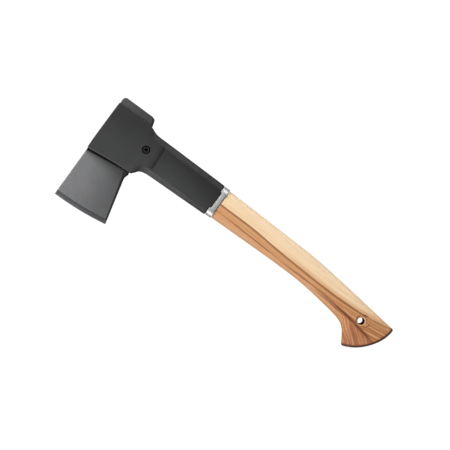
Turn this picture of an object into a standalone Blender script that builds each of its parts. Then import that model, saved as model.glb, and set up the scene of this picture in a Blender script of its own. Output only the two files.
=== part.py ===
"""A hickory-handled hatchet, lying flat on its side.

All sizes are in metres. Every piece is modelled in the tool's own directions: x runs from the top of the
head to the butt of the handle, y runs from the middle of the handle's neck toward the poll (the cutting
edge is at negative y), and z runs through the thickness, zero on the middle plane. One empty carries all
the pieces and puts the middle of the tool's outline over the world origin, with its lower cheek at z = 0.
"""

import math

import bmesh
import bpy

# ---- driving dimensions -------------------------------------------------------------------------------
OVERALL_LENGTH = 0.4334
FIT_GAP = 0.0003

# steel head
EDGE_TOE_Y = -0.1094
EDGE_HEEL_X = 0.0731
EDGE_HEEL_Y = -0.1029
EDGE_SAG = 0.00175
EDGE_HALF_LAND = 0.0002
BEVEL_WIDTH = 0.0062
BEVEL_HALF_THICKNESS = 0.0022
BIT_TOP_X = 0.0012
BIT_NECK_X = 0.0576
BIT_NECK_Y = -0.0429
BIT_NECK_HALF_THICKNESS = 0.0076
BIT_CHEEK_CURVE = 1.1
CHEEK_HALF_THICKNESS = 0.0120
HEEL_FLARE = 0.0014
REBATE_DEPTH = 0.0019
POLL_FACE_Y = 0.0370
POLL_SEAT_Y = 0.0276
POLL_TOP_X = 0.0010
POLL_END_X = 0.0478
POLL_PROUD = 0.0006
POLL_CORNER = 0.0035
POLL_SLANT = 0.0016
HEAD_EDGE_CHAMFER = 0.0010
EYE_HALF_DEPTH = 0.0186
CHEEK_WALL = 0.0032

# moulded shroud
SHROUD_BIT_EDGE_Y = -0.0386
SHROUD_HEEL_Y = -0.0360
SHROUD_HEEL_X = 0.0604
SHROUD_SKIN = 0.0025
SHROUD_LIP_SKIN = 0.0016
SHROUD_CROWN_DROP = 0.0013
EYE_LINING = 0.0016
CAP_ROUNDING = 0.0014
CREASE_FROM_HEEL = 0.0171
CREASE_WIDTH = 0.0018
CREASE_SWELL = 0.0003
PANEL_TOP_Y = 0.0150
PANEL_BOTTOM_Y = -0.0157
PANEL_RECESS = 0.0008
COLLAR_BACK_PROUD = 0.0014
COLLAR_BELLY_PROUD = 0.0035
COLLAR_DROP = 0.0007
COLLAR_END_X = 0.1633
COLLAR_END_PROUD = 0.0004
SHOULDER_BAND_DROP = 0.0059
TONGUE_LENGTH = 0.0021
TONGUE_TOP_Y = 0.0116
TONGUE_BOTTOM_Y = -0.0092
MARK_X = 0.0606
MARK_RADIUS = 0.0050
MARK_DEPTH = 0.0004

# the shape of the shroud's edges: how wide each turn is, and how far it has risen by then
BACK_TURN = 0.0012
BACK_TURN_RISE = 0.35
BELLY_TURN = 0.0014
BELLY_TURN_RISE = 0.25
SHOULDER_TURN = 0.92
SHOULDER_TURN_RISE = 0.03
PANEL_STEP = 0.0006

# the neck sweep, from the poll down to the collar: distance past the heel, how far the back still stands
# up toward the poll, how far the belly, the shoulder and the lip have gone over to the collar's
NECK_SWEEP = (
    (-0.0302, 1.00, -0.12, 0.00, 0),
    (-0.0127, 0.98, -0.04, 0.00, 0),
    (-0.0090, 0.67, -0.02, 0.00, 0),
    (-0.0054, 0.38, -0.01, 0.23, 0),
    (0.0000, 0.07, 0.00, 0.57, 0),
    (0.0013, 0.05, 0.19, 0.64, 0),
    (0.0039, 0.02, 0.41, 1.00, 0),
    (0.0058, 0.00, 0.66, 1.00, 1),
    (0.0084, 0.00, 0.83, 1.00, 1),
)

# ring at the end of the collar
RING_LENGTH = 0.0082
RING_PROUD = 0.0008
RING_EDGE_ROUNDING = 0.0004
RING_ROUNDNESS = 3.2

# adhesive between the wood and its socket
ADHESIVE_THICKNESS = 0.0004

# hickory handle
TENON_TIP_X = 0.0080
TENON_LEAD_IN = 0.0020
NECK_START = 0.0056
SHOULDER_STEP = 0.0032
SHOULDER_BACK_Y = 0.0204
SHOULDER_BELLY_Y = -0.0192
SHOULDER_DROP = 0.0010
GRIP_WAIST = 0.0011
GRIP_TAPER = 0.4
KNOB_DROP = 0.0015
HANDLE_ROUNDNESS = 2.6
LANYARD_FROM_BUTT = 0.0395
LANYARD_Y = -0.0120
LANYARD_RADIUS = 0.0041
LANYARD_CHAMFER = 0.0019
LANYARD_CHAMFER_SINK = 0.0004

# the butt is cut to an arc, and the hook runs out under it
BUTT_ARC_RADIUS = 0.0655
BUTT_ARC_CENTRE_Y = 0.0100
BUTT_ARC_START = 20
BUTT_ARC_END = -95
BUTT_EDGE_ROUNDING = 0.0016
BUTT_BACK_Y = 0.0030
HOOK_REACH_Y = -0.0600

# the handle's outline from the grip to the hook: distance from the butt, back, belly
HANDLE_OUTLINE = (
    (0.1640, 0.0181, -0.0174),
    (0.1270, 0.0169, -0.0180),
    (0.1020, 0.0146, -0.0205),
    (0.0780, 0.0122, -0.0236),
    (0.0640, 0.0106, -0.0262),
    (0.0545, 0.0093, -0.0304),
    (0.0488, 0.0087, -0.0364),
    (0.0440, 0.0082, -0.0450),
    (0.0412, 0.0078, -0.0500),
    (0.0370, 0.0072, -0.0556),
    (0.0300, 0.0064, HOOK_REACH_Y),
    (0.0000, BUTT_BACK_Y, HOOK_REACH_Y),
)

# how finely round shapes are divided
OVAL_SIDES = 32
EDGE_STEPS = 10
ROUND_SIDES = 32
BUTT_STEPS = 24
HANDLE_STEP = 0.0110

# ---- sizes that follow from the ones above ------------------------------------------------------------
POLL_HALF_THICKNESS = CHEEK_HALF_THICKNESS + POLL_PROUD
SHROUD_HALF_THICKNESS = CHEEK_HALF_THICKNESS + SHROUD_SKIN
SHROUD_CROWN_HALF_THICKNESS = SHROUD_HALF_THICKNESS - SHROUD_CROWN_DROP
COLLAR_HALF_THICKNESS = SHROUD_HALF_THICKNESS - COLLAR_DROP
COLLAR_BACK_Y = SHOULDER_BACK_Y + COLLAR_BACK_PROUD
COLLAR_BELLY_Y = SHOULDER_BELLY_Y - COLLAR_BELLY_PROUD
CREASE_X = SHROUD_HEEL_X + CREASE_FROM_HEEL
SHOULDER_HALF_THICKNESS = COLLAR_HALF_THICKNESS - SHOULDER_DROP
GRIP_HALF_THICKNESS = SHOULDER_HALF_THICKNESS - GRIP_WAIST
KNOB_HALF_THICKNESS = SHROUD_HALF_THICKNESS - KNOB_DROP
RING_START_X = COLLAR_END_X + FIT_GAP
RING_END_X = RING_START_X + RING_LENGTH
RING_BACK_Y = SHOULDER_BACK_Y + RING_PROUD
RING_BELLY_Y = SHOULDER_BELLY_Y - RING_PROUD
RING_HALF_THICKNESS = SHOULDER_HALF_THICKNESS + RING_PROUD
COLLAR_END_BACK_Y = RING_BACK_Y
COLLAR_END_BELLY_Y = RING_BELLY_Y - COLLAR_END_PROUD
COLLAR_END_HALF_THICKNESS = RING_HALF_THICKNESS
SHOULDER_X = RING_END_X + FIT_GAP
SOCKET_GROW = ADHESIVE_THICKNESS + 2 * FIT_GAP
EYE_HALF_WIDTH = CHEEK_HALF_THICKNESS - CHEEK_WALL
TONGUE_INSET = FIT_GAP + EYE_LINING + SOCKET_GROW
TONGUE_HALF_DEPTH = EYE_HALF_DEPTH - TONGUE_INSET
TONGUE_HALF_WIDTH = EYE_HALF_WIDTH - TONGUE_INSET
NECK_START_X = SHROUD_HEEL_X + NECK_START
NECK_MIDDLE_Y = (SHOULDER_BACK_Y + SHOULDER_BELLY_Y) / 2
NECK_HALF_DEPTH = (SHOULDER_BACK_Y - SHOULDER_BELLY_Y) / 2 - SHOULDER_STEP
NECK_HALF_WIDTH = SHOULDER_HALF_THICKNESS - SHOULDER_STEP
LANYARD_X = OVERALL_LENGTH - LANYARD_FROM_BUTT
OUTLINE_MIDDLE_Y = (POLL_FACE_Y + EDGE_TOE_Y) / 2
BEYOND = 0.02
A_LITTLE_BEYOND = 0.005


def clear_scene():
    for old in list(bpy.data.objects):
        bpy.data.objects.remove(old, do_unlink=True)


# ---- helpers ------------------------------------------------------------------------------------------
def mix(a, b, share):
    return a + (b - a) * share


def oval(x, middle_y, half_depth, half_width, roundness=HANDLE_ROUNDNESS):
    """A ring of points across the tool: a superellipse, with flatter sides as roundness grows."""
    ring = []
    for side in range(OVAL_SIDES):
        angle = 2 * math.pi * (side + 0.5) / OVAL_SIDES
        c, s = math.cos(angle), math.sin(angle)
        y = math.copysign(abs(c) ** (2 / roundness), c) * half_depth
        z = math.copysign(abs(s) ** (2 / roundness), s) * half_width
        ring.append((x, middle_y + y, z))
    return ring


def loft(rings):
    """A closed body through rings of equally many points, with flat ends and its faces pointing out."""
    bm = bmesh.new()
    loops = [[bm.verts.new(point) for point in ring] for ring in rings]
    count = len(rings[0])
    for near, far in zip(loops, loops[1:]):
        for i in range(count):
            j = (i + 1) % count
            bm.faces.new((near[i], near[j], far[j]))
            bm.faces.new((near[i], far[j], far[i]))
    bm.faces.new(list(reversed(loops[0])))
    bm.faces.new(loops[-1])
    bmesh.ops.recalc_face_normals(bm, faces=bm.faces)
    return bm


def box(low, high):
    bm = bmesh.new()
    bmesh.ops.create_cube(bm, size=1.0)
    for vert in bm.verts:
        for axis in range(3):
            vert.co[axis] = high[axis] if vert.co[axis] > 0 else low[axis]
    return bm


def turned(profile, x, y):
    """A body turned about an upright axis through (x, y): the profile is (radius, height) pairs."""
    rings = []
    for radius, height in profile:
        ring = []
        for side in range(ROUND_SIDES):
            angle = 2 * math.pi * side / ROUND_SIDES
            ring.append((x + radius * math.cos(angle), y + radius * math.sin(angle), height))
        rings.append(ring)
    return loft(rings)


def add_object(name, bm, carrier):
    mesh = bpy.data.meshes.new(name)
    bm.to_mesh(mesh)
    bm.free()
    made = bpy.data.objects.new(name, mesh)
    made.parent = carrier
    bpy.context.collection.objects.link(made)
    return made


def add_cutter(name, bm, carrier):
    cutter = add_object(name, bm, carrier)
    cutter.hide_render = True
    cutter.display_type = "WIRE"
    return cutter


def cut(target, cutter):
    modifier = target.modifiers.new(cutter.name, "BOOLEAN")
    modifier.operation = "DIFFERENCE"
    modifier.solver = "EXACT"
    modifier.object = cutter


def finish(made, material, sharp_angle=30):
    made.data.materials.append(material)
    made.data.shade_smooth()
    made.data.set_sharp_from_angle(angle=math.radians(sharp_angle))


def plain_material(name, colour, roughness, metallic):
    material = bpy.data.materials.new(name)
    material.use_nodes = True
    shader = material.node_tree.nodes["Principled BSDF"]
    shader.inputs["Base Color"].default_value = (*colour, 1.0)
    shader.inputs["Roughness"].default_value = roughness
    shader.inputs["Metallic"].default_value = metallic
    return material


# ---- steel head ---------------------------------------------------------------------------------------
def bit_station(toe, heel, sag, half_thickness, grow):
    """One ring of the head: a thin bar from the toe side to the heel side, bowed toward the edge."""
    half = half_thickness + grow
    chamfer = min(HEAD_EDGE_CHAMFER, 0.5 * half)
    toe_x, heel_x = toe[0] - grow, heel[0] + grow
    near, far = [], []
    for step in range(EDGE_STEPS + 1):
        share = step / EDGE_STEPS
        x = mix(toe_x, heel_x, share)
        if step == 0:
            x += chamfer
        if step == EDGE_STEPS:
            x -= chamfer
        y = mix(toe[1], heel[1], share) - sag * 4 * share * (1 - share)
        near.append((x, y, half))
        far.append((x, y, -half))
    toe_side = [(toe_x, toe[1], -half + chamfer), (toe_x, toe[1], half - chamfer)]
    heel_side = [(heel_x, heel[1], half - chamfer), (heel_x, heel[1], -half + chamfer)]
    return toe_side + near + heel_side + list(reversed(far))


def heel_line_x(y):
    """The straight back of the bit, from the heel of the edge up to the neck under the shroud."""
    share = (y - EDGE_HEEL_Y) / (BIT_NECK_Y - EDGE_HEEL_Y)
    return mix(EDGE_HEEL_X, BIT_NECK_X, share)


def seat_half_thickness():
    """Half the steel's thickness where the shroud's lip meets it."""
    rise = (SHROUD_BIT_EDGE_Y - BIT_NECK_Y) / (-EYE_HALF_DEPTH - BIT_NECK_Y)
    return mix(BIT_NECK_HALF_THICKNESS, CHEEK_HALF_THICKNESS, rise)


def head_stations(grow):
    """The rings of the head from the cutting edge to the poll, all grown by the same amount."""
    inner_top = BIT_TOP_X + REBATE_DEPTH
    inner_end = SHROUD_HEEL_X - REBATE_DEPTH
    poll_inner_end = POLL_END_X - REBATE_DEPTH
    rings = []

    def ring(toe_x, toe_y, heel_x, heel_y, sag, half):
        rings.append(bit_station((toe_x, toe_y), (heel_x, heel_y), sag, half, grow))

    ring(BIT_TOP_X, EDGE_TOE_Y - grow, EDGE_HEEL_X, EDGE_HEEL_Y - grow, EDGE_SAG, EDGE_HALF_LAND)
    toe_y = EDGE_TOE_Y + BEVEL_WIDTH
    heel_y = EDGE_HEEL_Y + BEVEL_WIDTH
    ring(BIT_TOP_X, toe_y, heel_line_x(heel_y), heel_y, EDGE_SAG, BEVEL_HALF_THICKNESS)
    for share in (0.25, 0.5, 0.75):
        y_toe = mix(toe_y, BIT_NECK_Y, share)
        y_heel = mix(heel_y, BIT_NECK_Y, share)
        half = mix(BEVEL_HALF_THICKNESS, BIT_NECK_HALF_THICKNESS, share ** BIT_CHEEK_CURVE)
        ring(BIT_TOP_X, y_toe, heel_line_x(y_heel), y_heel, EDGE_SAG * (1 - share), half)
    ring(BIT_TOP_X, BIT_NECK_Y, BIT_NECK_X, BIT_NECK_Y, 0, BIT_NECK_HALF_THICKNESS)

    seat_y = SHROUD_BIT_EDGE_Y - 2 * FIT_GAP
    seat_half = seat_half_thickness()
    ring(BIT_TOP_X, seat_y, BIT_NECK_X + HEEL_FLARE, seat_y, 0, seat_half)
    ring(inner_top, seat_y + REBATE_DEPTH, inner_end, seat_y + REBATE_DEPTH, 0, seat_half)
    ring(inner_top, -EYE_HALF_DEPTH, inner_end, -EYE_HALF_DEPTH, 0, CHEEK_HALF_THICKNESS)
    back_y = POLL_SEAT_Y - REBATE_DEPTH
    ring(inner_top, back_y, poll_inner_end, back_y, 0, CHEEK_HALF_THICKNESS)
    ring(POLL_TOP_X, POLL_SEAT_Y - grow, POLL_END_X, POLL_SEAT_Y - grow, 0, POLL_HALF_THICKNESS)

    for step in range(4):
        angle = math.radians(30 * step)
        inset = POLL_CORNER * (1 - math.cos(angle))
        y = POLL_FACE_Y + grow - POLL_CORNER * (1 - math.sin(angle))
        top_x, end_x = POLL_TOP_X + inset, POLL_END_X - POLL_SLANT - 0.6 * inset
        ring(top_x, y, end_x, y, 0, POLL_HALF_THICKNESS - 0.3 * inset)
    return rings


def eye_plug(grow):
    ends = (-BEYOND, SHROUD_HEEL_X + BEYOND)
    return loft([oval(x, 0, EYE_HALF_DEPTH + grow, EYE_HALF_WIDTH + grow) for x in ends])


def make_steel_head(carrier):
    head = add_object("steel_head", loft(head_stations(0)), carrier)
    cut(head, add_cutter("eye_cutter", eye_plug(0), carrier))
    finish(head, plain_material("coated_steel", (0.16, 0.16, 0.17), 0.45, 0.6))


# ---- wood inside the head -----------------------------------------------------------------------------
def tenon_rings(grow):
    """The wood from its tip inside the eye to the handle's shoulder, grown by the same amount."""
    tip_x = TENON_TIP_X - grow
    tip_depth = TONGUE_HALF_DEPTH - TENON_LEAD_IN
    tip_width = TONGUE_HALF_WIDTH - TENON_LEAD_IN / 2
    sizes = (
        (tip_x, 0, tip_depth, tip_width),
        (tip_x + TENON_LEAD_IN, 0, TONGUE_HALF_DEPTH, TONGUE_HALF_WIDTH),
        (SHROUD_HEEL_X, 0, TONGUE_HALF_DEPTH, TONGUE_HALF_WIDTH),
        (NECK_START_X, NECK_MIDDLE_Y, NECK_HALF_DEPTH, NECK_HALF_WIDTH),
        (SHOULDER_X, NECK_MIDDLE_Y, NECK_HALF_DEPTH, NECK_HALF_WIDTH),
    )
    return [oval(x, middle, depth + grow, width + grow) for x, middle, depth, width in sizes]


def neck_ring(x, grow):
    return oval(x, NECK_MIDDLE_Y, NECK_HALF_DEPTH + grow, NECK_HALF_WIDTH + grow)


def make_adhesive_sleeve(carrier):
    outer = tenon_rings(FIT_GAP + ADHESIVE_THICKNESS)
    outer[-1] = neck_ring(COLLAR_END_X, FIT_GAP + ADHESIVE_THICKNESS)
    sleeve = add_object("adhesive_sleeve", loft(outer), carrier)
    cut(sleeve, add_cutter("sleeve_bore_cutter", loft(tenon_rings(FIT_GAP)), carrier))
    finish(sleeve, plain_material("cured_adhesive", (0.62, 0.52, 0.33), 0.5, 0.0))


# ---- moulded shroud -----------------------------------------------------------------------------------
def shroud_section(x, back, belly, thickness, crown, lip, panel_drop):
    """One ring of the shroud: back edge, shoulder, cheek panel, shoulder, belly edge, on both faces."""
    half = [
        (back, crown),
        (back - BACK_TURN, mix(crown, thickness, BACK_TURN_RISE)),
        (mix(back, PANEL_TOP_Y, SHOULDER_TURN), thickness),
        (PANEL_TOP_Y - PANEL_STEP, thickness - panel_drop),
        (PANEL_BOTTOM_Y + PANEL_STEP, thickness - panel_drop),
        (mix(belly, PANEL_BOTTOM_Y, SHOULDER_TURN), mix(thickness, crown, SHOULDER_TURN_RISE)),
        (belly + BELLY_TURN, mix(lip, thickness, BELLY_TURN_RISE)),
        (belly, lip),
    ]
    upper = [(x, y, z) for y, z in half]
    lower = [(x, y, -z) for y, z in reversed(half)]
    return upper + lower


def shroud_rings():
    full = SHROUD_HALF_THICKNESS
    crown = SHROUD_CROWN_HALF_THICKNESS
    lip = seat_half_thickness() + SHROUD_LIP_SKIN
    back = POLL_SEAT_Y - FIT_GAP
    rings = []
    for step in range(4):
        angle = math.radians(30 * step)
        x = CAP_ROUNDING * (1 - math.sin(angle))
        inset = CAP_ROUNDING * (1 - math.cos(angle))
        rings.append(shroud_section(x, back - inset, SHROUD_BIT_EDGE_Y + inset,
                                    full - inset, crown - inset, lip - inset, 0))
    rings.reverse()

    # the neck sweeps in from the poll to the collar, and steps in behind the heel
    collar_crown = COLLAR_HALF_THICKNESS - SHOULDER_BAND_DROP
    for past_heel, stand, belly_gone, crown_gone, lip_gone in NECK_SWEEP:
        belly = mix(SHROUD_HEEL_Y, COLLAR_BELLY_Y, belly_gone)
        edge = mix(lip, collar_crown, lip_gone)
        rings.append(shroud_section(SHROUD_HEEL_X + past_heel, mix(COLLAR_BACK_Y, back, stand), belly,
                                    full, mix(crown, collar_crown, crown_gone), edge, 0))

    # the collar, with its recessed panel beginning at the crease
    rings.append(shroud_section(CREASE_X, COLLAR_BACK_Y, COLLAR_BELLY_Y - CREASE_SWELL,
                                COLLAR_HALF_THICKNESS + CREASE_SWELL, collar_crown, collar_crown, 0))
    rings.append(shroud_section(CREASE_X + CREASE_WIDTH, COLLAR_BACK_Y, COLLAR_BELLY_Y,
                                COLLAR_HALF_THICKNESS, collar_crown, collar_crown, PANEL_RECESS))
    end_crown = COLLAR_END_HALF_THICKNESS - SHOULDER_BAND_DROP
    rings.append(shroud_section(COLLAR_END_X + TONGUE_LENGTH, COLLAR_END_BACK_Y, COLLAR_END_BELLY_Y,
                                COLLAR_END_HALF_THICKNESS, end_crown, end_crown, PANEL_RECESS))
    return rings


def make_shroud(carrier):
    shroud = add_object("composite_shroud", loft(shroud_rings()), carrier)

    seat = add_cutter("head_seat_cutter", loft(head_stations(FIT_GAP)), carrier)
    cut(seat, add_cutter("lining_cutter", eye_plug(-FIT_GAP), carrier))
    cut(shroud, seat)

    socket = tenon_rings(SOCKET_GROW)
    socket.append(neck_ring(SHOULDER_X + BEYOND, SOCKET_GROW))
    cut(shroud, add_cutter("socket_cutter", loft(socket), carrier))

    # what is left past the collar's end is the tongue on each cheek
    above = box((COLLAR_END_X, TONGUE_TOP_Y, -BEYOND), (COLLAR_END_X + BEYOND, 2 * BEYOND, BEYOND))
    below = box((COLLAR_END_X, -2 * BEYOND, -BEYOND), (COLLAR_END_X + BEYOND, TONGUE_BOTTOM_Y, BEYOND))
    cut(shroud, add_cutter("tongue_top_cutter", above, carrier))
    cut(shroud, add_cutter("tongue_bottom_cutter", below, carrier))

    for side, name in ((1, "upper_mark_cutter"), (-1, "lower_mark_cutter")):
        floor = side * (SHROUD_HALF_THICKNESS - MARK_DEPTH)
        outside = side * (SHROUD_HALF_THICKNESS + BEYOND)
        mark = turned(((MARK_RADIUS, floor), (MARK_RADIUS, outside)), MARK_X, 0)
        cut(shroud, add_cutter(name, mark, carrier))
    finish(shroud, plain_material("dark_composite", (0.05, 0.05, 0.05), 0.5, 0.0))


# ---- ring ---------------------------------------------------------------------------------------------
def make_ferrule_ring(carrier):
    middle_y = (RING_BACK_Y + RING_BELLY_Y) / 2
    half_depth = (RING_BACK_Y - RING_BELLY_Y) / 2
    rounding = RING_EDGE_ROUNDING
    rings = [
        oval(RING_START_X, middle_y, half_depth - rounding, RING_HALF_THICKNESS - rounding, RING_ROUNDNESS),
        oval(RING_START_X + rounding, middle_y, half_depth, RING_HALF_THICKNESS, RING_ROUNDNESS),
        oval(RING_END_X - rounding, middle_y, half_depth, RING_HALF_THICKNESS, RING_ROUNDNESS),
        oval(RING_END_X, middle_y, half_depth - rounding, RING_HALF_THICKNESS - rounding, RING_ROUNDNESS),
    ]
    ring = add_object("ferrule_ring", loft(rings), carrier)
    bore = [neck_ring(x, FIT_GAP) for x in (RING_START_X - BEYOND, RING_END_X + BEYOND)]
    cut(ring, add_cutter("ring_bore_cutter", loft(bore), carrier))
    notch = box((RING_START_X - BEYOND, TONGUE_BOTTOM_Y - FIT_GAP, -BEYOND),
                (COLLAR_END_X + TONGUE_LENGTH + FIT_GAP, TONGUE_TOP_Y + FIT_GAP, BEYOND))
    cut(ring, add_cutter("ring_notch_cutter", notch, carrier))
    finish(ring, plain_material("satin_aluminium", (0.78, 0.77, 0.75), 0.3, 1.0))


# ---- handle -------------------------------------------------------------------------------------------
def handle_stations():
    """The outline's own stations, with more between them where they are far apart."""
    stations = [(SHOULDER_X, SHOULDER_BACK_Y, SHOULDER_BELLY_Y)]
    for from_butt, back, belly in HANDLE_OUTLINE:
        stations.append((OVERALL_LENGTH - from_butt, back, belly))
    return stations


def slope(stations, index, column):
    """How steeply an outline runs at one of its stations."""
    before = stations[max(index - 1, 0)]
    after = stations[min(index + 1, len(stations) - 1)]
    return (after[column] - before[column]) / (after[0] - before[0])


def smooth_between(stations, index, share, column):
    """A smooth curve through the stations, at a share of the way from one to the next."""
    start, end = stations[index], stations[index + 1]
    length = end[0] - start[0]
    rise = end[column] - start[column]
    leave = slope(stations, index, column) * length
    arrive = slope(stations, index + 1, column) * length
    s = share
    return (start[column] + leave * (s - 2 * s ** 2 + s ** 3) + rise * (3 * s ** 2 - 2 * s ** 3)
            + arrive * (s ** 3 - s ** 2))


def handle_half_thickness(x):
    """Thick at the shoulder, slimmer through the grip, swelling into the knob."""
    from_butt = OVERALL_LENGTH - x
    knob_start = HANDLE_OUTLINE[2][0]
    if from_butt > knob_start:
        share = min((x - SHOULDER_X) / (GRIP_TAPER * (OVERALL_LENGTH - knob_start - SHOULDER_X)), 1.0)
        half = mix(SHOULDER_HALF_THICKNESS, GRIP_HALF_THICKNESS, share * share * (3 - 2 * share))
    else:
        share = min((knob_start - from_butt) / (knob_start - LANYARD_FROM_BUTT), 1.0)
        half = mix(GRIP_HALF_THICKNESS, KNOB_HALF_THICKNESS, share * share * (3 - 2 * share))
    return half


def handle_rings():
    rings = tenon_rings(0)
    stations = handle_stations()
    for index in range(len(stations) - 1):
        length = stations[index + 1][0] - stations[index][0]
        parts = max(1, math.ceil(length / HANDLE_STEP))
        for part in range(parts):
            share = part / parts
            x = stations[index][0] + length * share
            back = smooth_between(stations, index, share, 1)
            belly = smooth_between(stations, index, share, 2)
            rings.append(oval(x, (back + belly) / 2, (back - belly) / 2, handle_half_thickness(x)))
    x, back, belly = stations[-1]
    for end_x in (x, x + A_LITTLE_BEYOND):
        rings.append(oval(end_x, (back + belly) / 2, (back - belly) / 2, handle_half_thickness(x)))
    return rings


def butt_cutter(inset, half_height):
    """What lies outside the butt's arc, as one ring of points; a larger inset makes a smaller arc."""
    centre_x = OVERALL_LENGTH - math.sqrt(BUTT_ARC_RADIUS ** 2 - (BUTT_ARC_CENTRE_Y - BUTT_BACK_Y) ** 2)
    radius = BUTT_ARC_RADIUS - inset
    ring = []
    for step in range(BUTT_STEPS + 1):
        angle = math.radians(mix(BUTT_ARC_START, BUTT_ARC_END, step / BUTT_STEPS))
        ring.append((centre_x + radius * math.cos(angle), BUTT_ARC_CENTRE_Y + radius * math.sin(angle),
                     half_height))
    far = OVERALL_LENGTH + BEYOND
    ring.append((centre_x, -OVERALL_LENGTH / 2, half_height))
    ring.append((far, -OVERALL_LENGTH / 2, half_height))
    ring.append((far, ring[0][1], half_height))
    return ring


def make_handle(carrier):
    handle = add_object("hickory_handle", loft(handle_rings()), carrier)
    face = KNOB_HALF_THICKNESS
    flat = face - 2 * BUTT_EDGE_ROUNDING
    heights = ((2 * BUTT_EDGE_ROUNDING, -face - BUTT_EDGE_ROUNDING), (0, -flat), (0, flat),
               (2 * BUTT_EDGE_ROUNDING, face + BUTT_EDGE_ROUNDING))
    butt = loft([butt_cutter(inset, height) for inset, height in heights])
    cut(handle, add_cutter("butt_arc_cutter", butt, carrier))
    wide = LANYARD_RADIUS + LANYARD_CHAMFER + A_LITTLE_BEYOND
    deep = LANYARD_CHAMFER + LANYARD_CHAMFER_SINK
    profile = (
        (wide, -face + deep - (wide - LANYARD_RADIUS)),
        (LANYARD_RADIUS, -face + deep),
        (LANYARD_RADIUS, face - deep),
        (wide, face - deep + (wide - LANYARD_RADIUS)),
    )
    cut(handle, add_cutter("lanyard_cutter", turned(profile, LANYARD_X, LANYARD_Y), carrier))
    finish(handle, plain_material("oiled_hickory", (0.62, 0.38, 0.20), 0.5, 0.0), 40)


def build():
    clear_scene()
    carrier = bpy.data.objects.new("hatchet", None)
    carrier.location = (-OVERALL_LENGTH / 2, -OUTLINE_MIDDLE_Y, SHROUD_HALF_THICKNESS)
    bpy.context.collection.objects.link(carrier)
    make_steel_head(carrier)
    make_shroud(carrier)
    make_ferrule_ring(carrier)
    make_adhesive_sleeve(carrier)
    make_handle(carrier)


build()
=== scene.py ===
import bmesh
import bpy
import math
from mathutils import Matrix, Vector


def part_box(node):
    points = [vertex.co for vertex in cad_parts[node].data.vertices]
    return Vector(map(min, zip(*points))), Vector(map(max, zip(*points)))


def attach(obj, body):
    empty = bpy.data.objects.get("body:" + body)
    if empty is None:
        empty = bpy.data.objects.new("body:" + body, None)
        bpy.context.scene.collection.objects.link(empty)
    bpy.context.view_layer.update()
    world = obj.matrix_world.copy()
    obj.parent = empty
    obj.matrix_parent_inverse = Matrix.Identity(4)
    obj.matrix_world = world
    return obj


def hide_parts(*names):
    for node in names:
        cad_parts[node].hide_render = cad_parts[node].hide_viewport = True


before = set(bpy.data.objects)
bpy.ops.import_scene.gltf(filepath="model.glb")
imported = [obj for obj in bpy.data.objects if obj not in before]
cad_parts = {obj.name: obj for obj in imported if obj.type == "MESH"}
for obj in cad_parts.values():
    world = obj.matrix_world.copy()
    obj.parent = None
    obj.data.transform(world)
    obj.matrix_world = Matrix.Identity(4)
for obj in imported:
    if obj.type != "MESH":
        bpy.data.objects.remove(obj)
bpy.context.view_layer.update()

# every piece is shaped in the tool's own directions and then moved onto the frame:
# x from the top of the head to the butt, y from the neck's middle line toward the poll, z through the thickness
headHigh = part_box("steel_head")[1]
shroudLow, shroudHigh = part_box("composite_shroud")
ringLow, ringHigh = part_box("ferrule_ring")
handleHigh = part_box("hickory_handle")[1]
pollReach = 0.0370   # the poll's face above the neck's middle line
middleZ = (shroudLow.z + shroudHigh.z) / 2
toolOrigin = Vector((shroudLow.x, headHigh.y - pollReach, middleZ))
shroudThick = shroudHigh.z - middleZ
ringStart = ringLow.x - toolOrigin.x
ringEnd = ringHigh.x - toolOrigin.x
ringThick = ringHigh.z - middleZ
buttX = handleHigh.x - toolOrigin.x
fitGap = 0.0003


# edit mode work, done in code by place or normal

def leaveEdit():
    if bpy.context.mode != "OBJECT":
        bpy.ops.object.mode_set(mode="OBJECT")
    bpy.ops.object.select_all(action="DESELECT")


def makeActive(piece):
    leaveEdit()
    piece.select_set(True)
    bpy.context.view_layer.objects.active = piece


def nameNew(name):   # names what was just added, and puts its place in its mesh
    bpy.ops.object.transform_apply(location=True, rotation=True, scale=True)
    piece = bpy.context.object
    piece.name = name
    piece.data.name = name
    return piece


def openEdit(piece):
    makeActive(piece)
    bpy.ops.object.mode_set(mode="EDIT")
    bpy.ops.mesh.select_all(action="DESELECT")


def pickAll():
    bpy.ops.mesh.select_all(action="SELECT")


def pick(kind, test):
    data = bpy.context.edit_object.data
    bpy.ops.mesh.select_mode(type=kind)
    bpy.ops.mesh.select_all(action="DESELECT")
    shape = bmesh.from_edit_mesh(data)
    for item in {"VERT": shape.verts, "EDGE": shape.edges, "FACE": shape.faces}[kind]:
        if test(item):
            item.select_set(True)
    shape.select_flush_mode()
    bmesh.update_edit_mesh(data)


def slide(x, y, z):
    bpy.ops.transform.translate(value=(x, y, z))


def stretch(x, y, z, about):
    bpy.ops.transform.resize(value=(x, y, z), center_override=about)


def pullOut(x, y=0.0, z=0.0):
    bpy.ops.mesh.extrude_region_move(TRANSFORM_OT_translate={"value": (x, y, z)})


def roundEdges(width, segments, **settings):
    bpy.ops.mesh.bevel(offset=width, segments=segments, affect="EDGES", **settings)


def applyModifier(piece, kind, **settings):
    makeActive(piece)
    modifier = piece.modifiers.new(kind.title(), kind)
    for name, value in settings.items():
        setattr(modifier, name, value)
    bpy.ops.object.modifier_apply(modifier=modifier.name)


def cutAway(piece, cutter, operation="DIFFERENCE"):
    applyModifier(piece, "BOOLEAN", object=cutter, operation=operation, solver="EXACT")
    bpy.data.objects.remove(cutter, do_unlink=True)


def copyOf(piece, name):
    makeActive(piece)
    bpy.ops.object.duplicate()
    return nameNew(name)


def tidyMesh(piece, distance=0.000005):
    openEdit(piece)
    pickAll()
    bpy.ops.mesh.remove_doubles(threshold=distance)
    bpy.ops.mesh.normals_make_consistent(inside=False)
    leaveEdit()


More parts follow.
